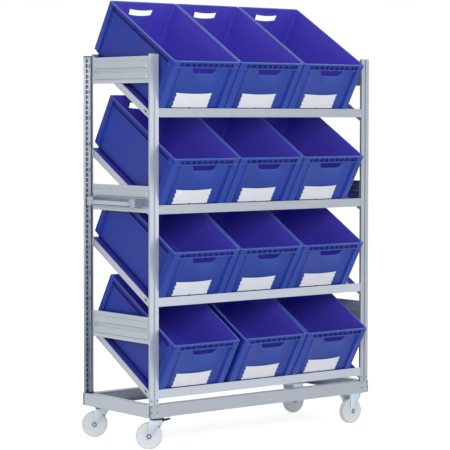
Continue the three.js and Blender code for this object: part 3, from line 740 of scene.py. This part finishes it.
def shade_liner_mesh(hooked, capped):
    """Dark strips of painted shade inside an upright, behind the slots of its shoulders, its web and its
    hooked side.
    """
    top = POST_HEIGHT - PLAIN_TOP
    places = [
        (-18.4, -6.2, 7.9, 9.1), (6.2, 18.4, 7.9, 9.1), (-4.6, -3.6, 21.6, 29.6), (3.6, 4.6, 21.6, 29.6),
        (*span(hooked, 21.4, 22.4), 1.9, 7.6),
    ]
    parts = [rib((x0, y0, 4.0), (x1, y1, top)) for x0, x1, y0, y1 in places]
    if capped:
        parts.append(rib((-25.2, -0.2, top + 8.8), (25.2, 32.2, top + 12.6)))
    return joined_mesh("shade_liner", parts)


def make_uprights():
    """Four uprights in sheet, the rear ones turned round, each hooked on its side of the bay."""
    meshes = {side: sheet_metal("upright_sheet", upright_mesh(side), 1.4) for side in (1, -1)}
    for end, way, turn in ENDS:
        for side, sign in SIDES:
            name = f"upright_{end}_{side}"
            hooked = sign * way
            matrix = Matrix.Translation(rack(sign * POST_X, way * POST_Y, POST_BOTTOM))
            matrix = matrix @ Matrix.Rotation(turn, 4, "Z")
            thing = new_object(f"slotted_{name}", meshes[hooked].copy(), OWN.get(name, GALVANISED))
            thing.matrix_world = matrix
            settle(thing, body_of[name], "galvanised", name)
            # Painted shade: dark strips behind the slots
            shade_liner = new_object(f"liner_{name}", shade_liner_mesh(hooked, end == "rear"), BLACK)
            shade_liner.matrix_world = matrix
            settle(shade_liner, body_of[name], "black_steel")


# Sheet pieces
def dress(name, width):
    """A copy of a CAD node with its flat faces made whole and its edges rounded."""
    work = bmesh.new()
    work.from_mesh(nodes[name].data)
    bmesh.ops.remove_doubles(work, verts=work.verts, dist=2e-5)
    bmesh.ops.dissolve_limit(work, angle_limit=math.radians(0.6), verts=work.verts, edges=work.edges)
    mesh = bpy.data.meshes.new(f"finished_{name}")
    work.to_mesh(mesh)
    work.free()
    thing = new_object(f"finished_{name}", mesh, OWN.get(name, MATERIALS[slot_of[name]]), SMOOTH)
    soften(thing, width, 2)
    settle(thing, body_of[name], slot_of[name], name)


def panel_mesh():
    """A left side panel about its lower edge: two raised beads that end short of the panel's ends."""
    height, depth, sunk, sheet = 125.0, 12.0, 3.6, 0.6
    ground, tab_depth = sunk + sheet, 10.6
    profile = [(depth, sheet), (5.4, sheet)]
    for low, high in ((0.17, 0.40), (0.58, 0.81)):
        base, top = low * height, high * height
        profile += [(ground - 1.0, base - 2.6), (ground + 3.6, base - 2.0), (ground + 3.6, base - 0.2)]
        profile += [(sheet, base + 0.2), (sheet, top - 1.0), (ground, top + 3.6)]
    profile += [(ground, height - sheet), (depth, height - sheet)]
    # places along Y, each with how far the beads stand out there and whether it belongs to an end tab
    columns = [
        (-236.8, 0.0, 1), (-231.6, 0.0, 1), (-231.2, 0.0, 0), (-217.0, 0.0, 0), (-214.0, 1.0, 0),
        (203.0, 1.0, 0), (206.0, 0.0, 0), (219.0, 0.0, 0), (219.4, 0.0, 1), (236.8, 0.0, 1),
    ]
    verts, faces = [], []
    for y, bead, tab in columns:
        for d, z in profile:
            flat = d if d >= depth else ground
            place = d * bead + flat * (1 - bead)
            place = max(place, tab_depth) if tab else place
            verts.append((place * MM, y * MM, z * MM))
    count = len(profile)
    for i in range(len(columns) - 1):
        for j in range(count - 1):
            a = i * count + j
            faces.append((a, a + 1, a + count + 1, a + count))
    return open_mesh("panel", verts, faces)


def make_panels():
    """Six side panels between the uprights' webs."""
    mesh = sheet_metal("panel_sheet", panel_mesh(), 1.2)
    for side, sign in SIDES:
        for level in ("low", "middle", "top"):
            name = f"side_panel_{side}_{level}"
            thing = new_object(f"beaded_{name}", mesh.copy(), OWN.get(name, GALVANISED))
            if side == "right":
                thing.data.transform(Matrix.Scale(-1, 4, (1, 0, 0)))
                thing.data.flip_normals()
            thing.matrix_world = Matrix.Translation(rack(sign * PANEL_X, 0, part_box(name)[0].z / MM))
            settle(thing, body_of[name], "galvanised", name)


def shelf_parts():
    """A shelf in its own sloping frame as two meshes: its plate, slotted side strips and lips; its guides and
    plate edges in painted shade.
    """
    low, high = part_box("shelf_1")
    length = (high.y - low.y) / MM - SHELF_FOLD * math.sin(TILT)
    front, rear = SHELF_FRONT, SHELF_FRONT + length / math.cos(TILT)
    half, border, fold, sheet = 658.9, 46.0, SHELF_FOLD, 2.0
    middle = -fold / 2
    steel = [
        rib((-half + border, front, -sheet), (half - border, rear, 0.0)),
        rib((-half + 2.0, front, -8.0), (half - 2.0, front + sheet, -0.6)),
        rib((-half + 2.0, rear - sheet, -fold), (half - 2.0, rear, -0.6)),
    ]
    # Dark strips of painted shade: guides and plate edges, and black behind the slots and at the strips' rear
    # ends
    dark = []
    for side in (-1, 1):
        slot = arc(front + 67.0, middle, 4.4, -90, 90, 8) + arc(front + 55.0, middle, 4.4, 90, 270, 8)
        x0, x1 = span(side, half, half - sheet)
        steel.append(cut(rib((x0, front, -fold), (x1, rear, 0.0)), prism("slot", slot, -700, 700, "X")))
        x0, x1 = span(side, half - 2.2, half - 17.6)
        dark.append(rib((x0, front + 4, 0.0), (x1, rear - 4, 1.8)))
        x0, x1 = span(side, half - 1.0, half - border)
        dark.append(rib((x0, front, -sheet), (x1, rear, 0.0)))
        x0, x1 = span(side, half - 2.4, half - 4.4)
        dark.append(rib((x0, front + 46, middle - 7), (x1, front + 76, middle + 7)))
        x0, x1 = span(side, half - 0.4, half - 1.6)
        dark.append(rib((x0, rear - 0.6, -fold + 1), (x1, rear + 1.2, -1.0)))
    return joined_mesh("shelf_steel", steel), joined_mesh("shelf_shaded_guides", dark)


def make_shelves():
    """Four sloping shelves with their guides in painted shade; what the guides' mesh has below the plate is
    black, also painted shade.
    """
    steel, shaded_guides = shelf_parts()
    for row in range(1, 5):
        name = f"shelf_{row}"
        for kind, mesh, material, slot, replaced in (("tray", steel, GALVANISED, "galvanised", [name]),
                                                     ("shaded_guides", shaded_guides, GUIDE_PAINTED_SHADE, "blue_plastic", [])):
            thing = new_object(f"{kind}_{name}", mesh, material, SMOOTH)
            thing.matrix_world = shelf_matrix(row)
            settle(thing, body_of[name], slot, *replaced)
    shaded_guides.materials.append(BLACK)
    for face in shaded_guides.polygons:
        face.material_index = 1 if face.center.z < -5.0 * MM else 0


def make_handle():
    """The push handle: a hemmed grip bar with taller ends, and legs and a plate on the panel in zinc darkened
    with painted shade.
    """
    low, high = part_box("push_handle")
    outer, bottom, top = low.x / MM - RACK_X, low.z / MM, high.z / MM
    back, end = high.x / MM - RACK_X, high.y / MM - RACK_Y
    half, bar = 191.4, top - 14.0
    run = half - 4.0
    face = [(-half, bottom), (half, bottom), (half, top), (half - 40, top), (half - 47, bar)]
    face += [(-half + 47, bar), (-half + 40, top), (-half, top)]
    hem = [(outer, bottom), (outer + 3.4, bottom), (outer + 3.4, bottom + 2.6), (outer + 1.4, bottom + 3.6),
           (outer, bottom + 2.6)]
    bead = [(outer + 0.1, bottom + 6.4), (outer + 2.0, bottom + 6.0), (outer + 2.0, bar - 1.2),
            (outer + 0.1, bar - 2.4)]
    bright = [plate(face, outer + 0.6, outer + 3.0)]
    bright.append(prism("hem", hem, -run, run, "Y"))
    bright.append(prism("bead", bead, -run + 50, run - 50, "Y"))
    for z in (bottom, bar - 2.2):
        fold = [(outer + 2.0, z), (outer + 14.0, z), (outer + 14.0, z + 2.2), (outer + 2.0, z + 2.2)]
        bright.append(prism("fold", fold, -run, run, "Y"))
    # Legs and plate take the zinc darkened with painted shade
    shaded_parts = []
    for sign in (-1, 1):
        edge = [(half, bottom), (half, top), (half - 2.4, top), (half - 2.4, bottom)]
        brace = [(half - 6, top - 6), (half - 34, bottom + 3), (half - 6, bottom + 3)]
        edge, brace = ([(sign * y, z) for y, z in line[::sign]] for line in (edge, brace))
        bright.append(plate(edge, outer, outer + 6.0, 0.6))
        bright.append(plate(brace, outer + 0.1, outer + 1.6, 0.4))
        shaded_parts.append(plate(edge, outer + 6.4, back - 1.6))
    slab = [(-end, bottom + 2), (end, bottom + 2), (end, top), (-end, top)]
    shaded_parts.append(plate(slab, back - 2.4, back, 0.6))
    # A black strip of painted shadow along the bar, between its hem and its bead
    shadow_line = rib((outer + 0.2, -run + 4, bottom + 3.0), (outer + 1.4, run - 4, bottom + 6.6))
    for name, mesh, material, slot, replaced in (
            ("grip_shadow_line", shadow_line, BLACK, "black_steel", []),
            ("grip_bar", joined_mesh("grip_bar", bright), GRIP, "galvanised", ["push_handle"]),
            ("grip_back", joined_mesh("grip_back", shaded_parts), SHADED, "galvanised", ["push_handle"])):
        thing = new_object(name, mesh, material, SMOOTH)
        thing.matrix_world = Matrix.Translation(rack(0, 0, 0))
        settle(thing, "frame", slot, *replaced)


# Casters
def wheel_mesh():
    """A solid nylon wheel about Y: crowned tread, round shoulders, dished sides and a raised hub."""
    half = [(6.4, 18.5), (15.0, 18.5), (16.6, 17.9), (17.4, 16.4), (19.0, 15.4), (23.0, 15.0), (47.0, 15.0),
            (50.0, 15.6), (52.0, 17.0), (53.6, 17.5), (57.4, 17.4), (59.2, 16.8), (61.0, 15.2), (62.0, 12.6),
            (62.3, 8.0), (62.4, 0.0)]
    bore = (6.4, -18.4)
    profile = [bore] + [(r, -y) for r, y in half] + [(r, y) for r, y in reversed(half[:-1])] + [bore]
    return turned("wheel", profile, 96, closed=False)


def hexagon(radius, start, end):
    """A chamfered hexagon bar along Y, between two faces in millimetres, with a small dimple in its end."""
    rings = []
    sign = 1 if end > start else -1
    turns = [math.radians(60 * i + 15 * j) for i in range(6) for j in range(4)]
    steps = [(1.0, start), (1.0, end - 1.2 * sign), (0.86, end), (0.45, end), (0.42, end - 0.7 * sign)]
    for scale, y in steps:
        ring = []
        for t in turns:
            flat = math.cos(math.radians(30)) / math.cos((t % math.radians(60)) - math.radians(30))
            reach = radius * (scale if scale < 0.5 else min(flat, scale))
            ring.append((reach * math.cos(t) * MM, y * MM, reach * math.sin(t) * MM))
        rings.append(ring)
    return loft("hexagon", rings)


def axle_mesh():
    """The axle bolt with washers, a hexagon head and a lock nut."""
    face, end = 22.8, 24.8
    parts = [turned("rod", [(0, -end), (6.0, -end), (6.0, end), (0, end)], 32)]
    for sign in (-1, 1):
        y0, y1, y2, y3 = (sign * (face + step) for step in (0.0, 0.3, 1.1, 1.4))
        ring = [(0, y0), (10.2, y0), (10.6, y1), (10.6, y2), (10.2, y3), (0, y3)]
        parts.append(turned("washer", ring, 40))
    parts += [hexagon(5.6, sign * (face + 1.3), sign * (face + 5.0)) for sign in (-1, 1)]
    return joined_mesh("axle", parts)


def mark_axle(mesh):
    """Blackens the washers of an axle."""
    mesh.materials.append(BLACK)
    for face in mesh.polygons:
        face.material_index = 1 if 22.7 < abs(face.center.y / MM) < 24.3 else 0


def caster_plate():
    """The top plate of a caster with rounded corners, centred on X, Y."""
    half_x, half_y, corner = 52.5, 40.0, 8.0
    outline = []
    for sx, sy, start in ((1, 1, 0), (-1, 1, 90), (-1, -1, 180), (1, -1, 270)):
        outline += arc(sx * (half_x - corner), sy * (half_y - corner), corner, start, start + 90, 4)
    rings = [[(x * MM, y * MM, z * MM) for x, y in outline] for z in (151.7, 155.7)]
    return loft("caster_plate", rings)


def eye(x, start):
    """The round lower end of a cheek about the axle, from an angle in degrees."""
    return arc(x, AXLE_Z, 15.0, start, 362, 14)


def make_brackets():
    """Fixed brackets: a plate and two cheeks that lean opposite ways down to the axle."""
    near = [(51.6, 154.4), (-15.0, 154.4), (-15.0, AXLE_Z)] + eye(0, 180) + [(22.0, 92.0), (51.6, 136.0)]
    far = [(-x, z) for x, z in reversed(near)]
    parts = [caster_plate(), cheek(near, -CHEEK_OUT, -CHEEK_IN), cheek(far, CHEEK_IN, CHEEK_OUT)]
    for side in (-1, 1):
        edge = [(15.0, 150.0), (15.0, 92.0), (17.6, 98.0), (17.6, 150.0)]
        edge = [(side * x, z) for x, z in edge[::-side]]
        parts.append(cheek(edge, *span(side, 19.6, 9.0)))
    mesh = joined_mesh("bracket", parts)
    for end, _, _ in ENDS:
        name = f"fixed_bracket_{end}"
        low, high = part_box(name)
        thing = new_object(f"pressed_{name}", mesh, ZINC, SMOOTH)
        thing.matrix_world = Matrix.Translation(((low.x + high.x) / 2, (low.y + high.y) / 2, 0))
        settle(thing, body_of[name], "zinc", name)


def fork_mesh():
    """A swivel fork about its kingpin: two cheeks, a turned crown and a bridge."""
    outline = [(31.0, 139.4), (-26.9, 139.4), (-26.9, 120.0), (-24.0, 114.6), (-16.0, 112.6), (-5.0, 112.6)]
    outline += eye(TRAIL, 202)
    crown = [(6.4, 133.4), (28.5, 133.4), (29.9, 134.6), (29.9, 138.6), (29.2, 139.4), (6.4, 139.4),
             (6.4, 133.4)]
    bridge = [(-26.5, 133.6), (-8.0, 133.6), (-8.0, 139.2), (-26.5, 139.2)]
    parts = [cheek(outline, -CHEEK_OUT, -CHEEK_IN), cheek(outline, CHEEK_IN, CHEEK_OUT)]
    parts.append(turned("crown", crown, 48, "Z", closed=False))
    parts.append(cheek(bridge, -20.0, 20.0))
    return joined_mesh("fork", parts)


def pedal_mesh():
    """A brake pedal about its fork's kingpin: a bent arm and a boss round the pin."""
    half = 18.9
    arm = [(-24.0, 121.0), (-30.6, 133.0), (-30.0, 140.2), (-62.0, 145.0), (-64.0, 144.6), (-63.4, 141.2),
           (-28.4, 135.6), (-27.8, 132.4), (-21.8, 123.0), (-11.9, 106.2), (-15.0, 105.4)]
    boss = turned("boss", [(0, -half), (6.4, -half), (6.9, -18.4), (6.9, 18.4), (6.4, half), (0, half)], 28)
    pin = Matrix.Translation((-19 * MM, 0, 121 * MM))
    return joined_mesh("pedal", [cheek(arm, -half, half), (boss, pin)])


def make_forks():
    """Forks of the swivel casters, with their brake pedals and a black ring of painted shade over each crown.
    """
    fork, pedal = fork_mesh(), pedal_mesh()
    # A black ring of painted shade in the gap between crown and plate
    rim = [(29.0, 139.9), (33.0, 139.9), (33.8, 140.7), (33.8, 146.6), (33.0, 147.4), (29.0, 147.4),
           (29.0, 139.9)]
    gap_shade = turned("gap_shade", rim, 48, "Z", closed=False)
    kinds = [("fork", fork, ZINC, "zinc"), ("brake_pedal", pedal, BLACK, "black_steel")]
    for end, way, _ in ENDS:
        place = Matrix.Translation(rack(-CASTER_X, way * CASTER_Y, 0))
        for kind, mesh, material, slot in kinds:
            name = f"{kind}_{end}"
            thing = new_object(f"pressed_{name}", mesh, material, SMOOTH)
            thing.matrix_world = place @ Matrix.Rotation(SWIVEL_TURN, 4, "Z")
            settle(thing, body_of[name], slot, name)
        ring = new_object(f"seal_{end}", gap_shade, BLACK, 40.0)
        ring.matrix_world = place
        settle(ring, "frame", "black_steel")


def make_casters():
    """Smooth wheels and axles on all four casters."""
    kinds = [("wheel", wheel_mesh(), NYLON, "nylon"), ("axle", axle_mesh(), ZINC, "zinc")]
    for end, way, _ in ENDS:
        for side, turn in (("left", SWIVEL_TURN), ("right", 0.0)):
            low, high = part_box(f"wheel_{end}_{side}")
            centre = (low + high) / 2
            centre.z = AXLE_Z * MM
            if side == "left":
                reach = Vector((TRAIL * MM * math.cos(turn), TRAIL * MM * math.sin(turn), AXLE_Z * MM))
                centre = rack(-CASTER_X, way * CASTER_Y, 0) + reach
            for kind, mesh, material, slot in kinds:
                name = f"{kind}_{end}_{side}"
                made = mesh.copy()
                thing = new_object(f"turned_{name}", made, material, SMOOTH)
                if kind == "axle":
                    mark_axle(made)
                made.transform(Matrix.Rotation(turn, 4, "Z"))
                thing.matrix_world = Matrix.Translation(centre)
                settle(thing, body_of[name], slot, name)


# Fasteners
def bolt_mesh():
    """A round headed bolt along -Y with its washer and a round socket."""
    dome = [(0, 0.4), (6.2, 0.4), (6.4, 0.0), (6.4, -0.6), (6.1, -0.9), (4.7, -0.9), (4.6, -1.6), (4.0, -2.9),
            (2.9, -3.7), (1.9, -3.9), (1.8, -2.2), (0, -2.2)]
    return turned("bolt", dome, 28)


def make_bolts():
    """Bolts through the base rails and the feet of the uprights."""
    bolt = bolt_mesh()
    parts = []
    for sign in (-1, 1):
        for x in (683.0, 650.5):
            for across, face, z in ((x, RAIL_Y, 209.0), (x, RAIL_Y, 181.5), (x - 1.0, POST_Y, 236.0)):
                for _, way, turn in ENDS:
                    place = Matrix.Translation(rack(sign * across, way * face, z))
                    parts.append((bolt, place @ Matrix.Rotation(turn, 4, "Z") @ Matrix.Scale(0.8, 4)))
    # The bolts take the zinc darkened with painted shade
    thing = new_object("frame_bolts", joined_mesh("frame_bolts", parts), SHADED, SMOOTH)
    settle(thing, "frame", "zinc")


def make_shade_blocks():
    """Black blocks of painted shade round the feet of the rear uprights where they meet the rail, and behind
    the corner slits.
    """
    outline = [
        (-24.9, 24.9, -0.2, 1.8), (-24.9, -22.9, 1.8, 12.4), (22.9, 24.9, 1.8, 12.4),
        (-24.9, 24.9, 12.4, 13.6), (-8.6, -7.0, 13.6, 33.0), (7.0, 8.6, 13.6, 33.0), (-8.6, 8.6, 33.0, 34.4),
    ]
    parts = []
    for sign in (-1, 1):
        for x0, x1, y0, y1 in outline:
            block = rib((x0, 269.9 - y1, 216.2), (x1, 269.9 - y0, 222.0))
            parts.append((block, Matrix.Translation(rack(sign * POST_X, 0, 0))))
    for sx in (-1, 1):
        for sy in (-1, 1):
            x0, x1 = span(sx, 690.4, 693.0)
            y0, y1 = span(sy, 268.4, 272.3)
            parts.append((rib((x0, y0, 156.6), (x1, y1, 215.4)), Matrix.Translation(rack(0, 0, 0))))
    thing = new_object("foot_shade_blocks", joined_mesh("foot_shade_blocks", parts), BLACK, SMOOTH)
    settle(thing, "frame", "black_steel")


make_bins()
make_uprights()
make_shelves()
make_panels()
make_handle()
make_casters()
make_brackets()
make_forks()
make_bolts()
make_shade_blocks()
for node in sorted(nodes):
    if not nodes[node].hide_render:
        dress(node, 0.5 if slot_of[node] == "zinc" else 0.6)


# Stage, light and camera
def stage_material():
    """Pale floor that renders white to the camera and keeps the shadow."""
    material = bpy.data.materials.new("floor")
    material.use_nodes = True
    tree = material.node_tree
    tree.nodes.clear()
    coords = tree.nodes.new("ShaderNodeTexCoord").outputs["Object"]
    tone = ramp(tree, noise(tree, coords, 0.8, 2.0), [(0.3, (0.84, 0.84, 0.84)), (0.7, (0.86, 0.86, 0.86))])
    diffuse = add_node(tree, "ShaderNodeBsdfDiffuse", {"Color": tone})
    path = tree.nodes.new("ShaderNodeLightPath")
    seen = maths(tree, "MAXIMUM", path.outputs["Is Camera Ray"], path.outputs["Is Glossy Ray"])
    strength = maths(tree, "MULTIPLY", seen, 0.62)
    glow = add_node(tree, "ShaderNodeEmission", {"Color": (1, 1, 1, 1), "Strength": strength})
    both = add_node(tree, "ShaderNodeAddShader", {0: diffuse.outputs[0], 1: glow.outputs[0]})
    output = tree.nodes.new("ShaderNodeOutputMaterial")
    tree.links.new(both.outputs[0], output.inputs["Surface"])
    return material


def make_stage():
    """A wide floor and a white world that lights less than it shows."""
    corners = ((-30, -30), (30, -30), (30, 30), (-30, 30))
    rings = [[(x, y, z) for x, y in corners] for z in (-0.02, 0)]
    floor = bpy.data.objects.new("floor", loft("floor", rings))
    floor.data.materials.append(stage_material())
    scene.collection.objects.link(floor)
    world = bpy.data.worlds.new("studio")
    scene.world = world
    world.use_nodes = True
    tree = world.node_tree
    path = tree.nodes.new("ShaderNodeLightPath")
    seen = maths(tree, "MAXIMUM", path.outputs["Is Camera Ray"], path.outputs["Is Glossy Ray"])
    seen = maths(tree, "MAXIMUM", seen, path.outputs["Is Transmission Ray"])
    background = tree.nodes["Background"]
    background.inputs["Color"].default_value = (1, 1, 1, 1)
    tree.links.new(spread(tree, seen, 0.55, 1.0), background.inputs["Strength"])


def make_lamps():
    """Three soft lamps aimed at the middle of the cart."""
    lamps = [
        ("key", (-3.5, -4.6, 2.5), 2.2, 118.0),
        ("fill", (2.2, -5.0, 1.4), 3.0, 22.0),
        ("back", (0.5, 4.6, 4.2), 3.0, 16.0),
    ]
    for name, place, size, power in lamps:
        light = bpy.data.lights.new(name, "AREA")
        light.shape = "DISK"
        light.size = size
        light.energy = power
        lamp = bpy.data.objects.new(name, light)
        lamp.location = place
        aim = Vector((0, 0, 0.9)) - lamp.location
        lamp.rotation_euler = aim.to_track_quat("-Z", "Y").to_euler()
        scene.collection.objects.link(lamp)


def make_camera():
    """The photograph's viewpoint, from the left front, fitted to points of the object."""
    place = Vector((-5941.178, -7299.358, 1566.169))
    azimuth, elevation, roll = (math.radians(angle) for angle in (-38.9015, -2.5466, 0.0709))
    # focal length and rise of the fitted view in pixels, and the picture's width in pixels
    focal, rise, picture = 1907.849, 25.0, 450.0
    data = bpy.data.cameras.new("camera")
    data.sensor_width = 36.0
    data.lens = focal / picture * data.sensor_width
    data.shift_y = -rise / picture
    data.clip_end = 100.0
    camera = bpy.data.objects.new("camera", data)
    aim = Matrix.Rotation(azimuth, 4, "Z") @ Matrix.Rotation(math.radians(90) + elevation, 4, "X")
    camera.matrix_world = Matrix.Translation(place * MM) @ aim @ Matrix.Rotation(roll, 4, "Z")
    scene.collection.objects.link(camera)
    scene.camera = camera


make_stage()
make_lamps()
make_camera()
scene.view_settings.view_transform = "Standard"
